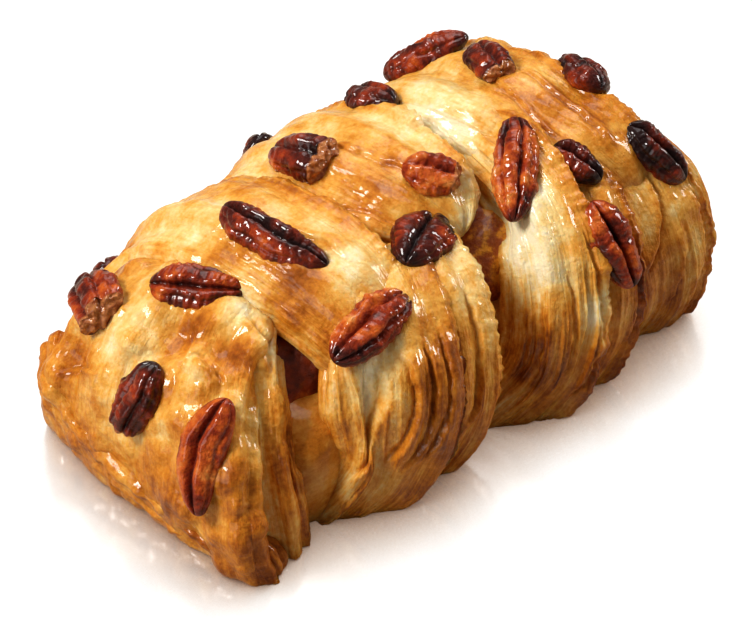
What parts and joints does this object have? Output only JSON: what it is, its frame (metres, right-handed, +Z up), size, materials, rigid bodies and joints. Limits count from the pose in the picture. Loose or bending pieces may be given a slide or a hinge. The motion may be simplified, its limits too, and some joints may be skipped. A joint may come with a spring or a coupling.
{
  "type": "pecan danish pastry",
  "caption": "Baked pecan plait: flaky dough strips braided over a nut filling, folded in at both ends, glazed and scattered with pecan halves and pieces, resting on its flat base.",
  "frame": {"origin": "middle of the bounding box at the flat underside that the pastry rests on", "axes": "+X along the plait to the far end in the picture, +Z up, -Y the long side that the picture shows"},
  "size_m": [0.13, 0.0841, 0.047],
  "materials": {
    "crust": "glazed flaky golden crust",
    "filling": "sticky brown nut filling",
    "pecan": "roasted and glazed"
  },
  "bodies": {
    "root": {"dough": "crust", "filling": "filling", "pecan_01": "pecan", "pecan_02": "pecan", "pecan_03": "pecan", "pecan_04": "pecan", "pecan_05": "pecan", "pecan_06": "pecan", "pecan_07": "pecan", "pecan_08": "pecan", "pecan_09": "pecan", "pecan_10": "pecan", "pecan_11": "pecan", "pecan_12": "pecan", "pecan_13": "pecan", "pecan_14": "pecan", "pecan_15": "pecan", "pecan_16": "pecan", "pecan_17": "pecan", "pecan_18": "pecan", "pecan_19": "pecan", "pecan_20": "pecan", "pecan_21": "pecan", "pecan_22": "pecan", "pecan_23": "pecan"}
  },
  "joints": []
}
